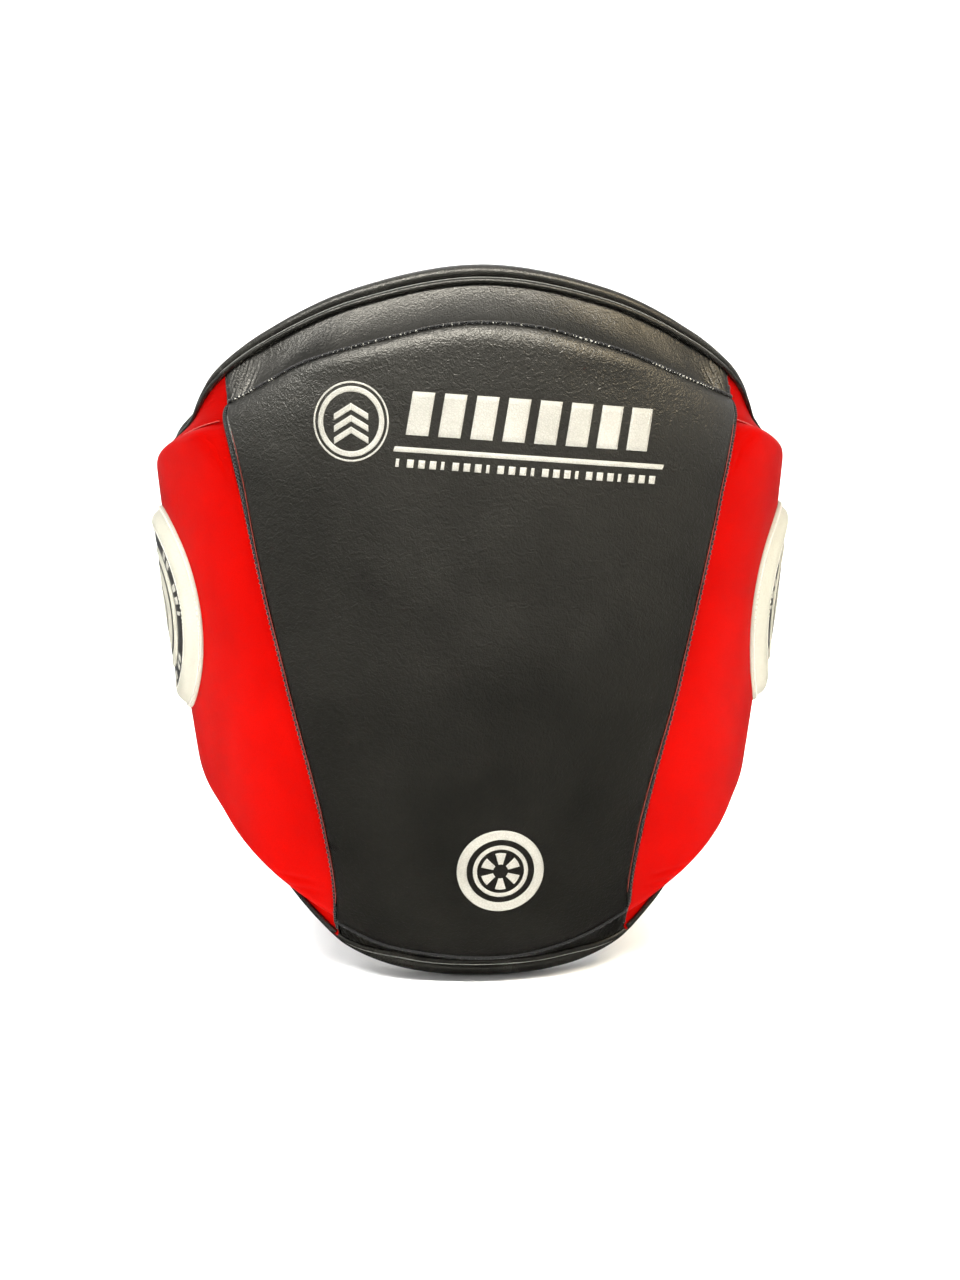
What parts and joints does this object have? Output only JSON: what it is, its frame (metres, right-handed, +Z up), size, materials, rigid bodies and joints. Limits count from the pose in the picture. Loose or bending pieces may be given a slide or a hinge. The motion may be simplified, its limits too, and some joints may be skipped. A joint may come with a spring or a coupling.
{
  "type": "trainer belly pad",
  "caption": "Padded trainer's belly pad with a black front block between red side wings, round white side targets, rolled edges, and a hook-and-loop belt with a steel ring.",
  "frame": {"origin": "middle of the lining's flat centre facet, where the pad rests on the wearer's stomach", "axes": "+Z up, +Y from the pad towards the wearer, +X to the right in a front view"},
  "size_m": [0.4092, 0.3158, 0.4185],
  "materials": {
    "black_leather": "pebbled, satin",
    "red_leather": "smooth, satin",
    "white_leather": "smooth, satin",
    "black_print": "satin",
    "silver_print": "satin ink on leather",
    "lining": "woven nylon",
    "foam": "closed-cell foam",
    "board": "dense foam sheet",
    "elastic": "ribbed elastic webbing",
    "hook_and_loop": "hook and loop pile",
    "steel": "nickel plated"
  },
  "bodies": {
    "center": {"lining_center": "lining", "backing_board": "board", "base_foam_center": "foam", "core_foam": "foam", "face_foam": "foam", "front_cover": "black_leather", "side_wall_left": "black_leather", "side_wall_right": "black_leather", "top_band": "black_leather", "bottom_band": "black_leather", "top_binding": "black_leather", "top_piping": "black_leather", "bottom_binding": "black_leather", "bottom_piping": "black_leather"},
    "wing_left": {"lining_left": "lining", "base_foam_left": "foam", "flange_left": "red_leather", "pad_foam_left": "foam", "pad_cover_left": "red_leather", "binding_left": "black_leather", "target_foam_left": "foam", "target_ring_left": "white_leather", "target_band_left": "black_print", "target_face_left": "white_leather", "strap_anchor_left": "black_leather"},
    "wing_right": {"lining_right": "lining", "base_foam_right": "foam", "flange_right": "red_leather", "pad_foam_right": "foam", "pad_cover_right": "red_leather", "binding_right": "black_leather", "target_foam_right": "foam", "target_ring_right": "white_leather", "target_band_right": "black_print", "target_face_right": "white_leather", "strap_anchor_right": "black_leather"},
    "short_strap": {"ring_strap": "elastic"},
    "ring": {"steel_ring": "steel"},
    "belt": {"elastic_band": "elastic", "loop_panel": "hook_and_loop"},
    "belt_tail": {"hook_panel": "hook_and_loop", "tail_band": "elastic", "tail_tab": "black_leather"}
  },
  "joints": [
    {"name": "left_wing_flex", "type": "hinge", "parent": "center", "child": "wing_left", "pos_m": [-0.12511, -0.01558, -0.06], "axis": [-0.2187, 0.0662, 0.9735], "range_deg": [0, 20], "stiffness_Nm_per_rad": 8},
    {"name": "right_wing_flex", "type": "hinge", "parent": "center", "child": "wing_right", "pos_m": [0.12511, -0.01558, -0.06], "axis": [-0.2187, -0.0662, -0.9735], "range_deg": [0, 20], "stiffness_Nm_per_rad": 8},
    {"name": "short_strap_swing", "type": "hinge", "parent": "wing_left", "child": "short_strap", "pos_m": [-0.1529, 0.1968, -0.05], "axis": [0, 0, 1], "range_deg": [-15, 80]},
    {"name": "ring_pivot", "type": "hinge", "parent": "short_strap", "child": "ring", "pos_m": [-0.1234, 0.2207, -0.05], "axis": [0, 0, 1], "range_deg": [-60, 60]},
    {"name": "belt_swing", "type": "hinge", "parent": "wing_right", "child": "belt", "pos_m": [0.1529, 0.1968, -0.05], "axis": [0, 0, -1], "range_deg": [-15, 80]},
    {"name": "tail_fold", "type": "hinge", "parent": "belt", "child": "belt_tail", "pos_m": [-0.0118, 0.2511, -0.05], "axis": [0, 0, 1], "range_deg": [0, 150]}
  ]
}
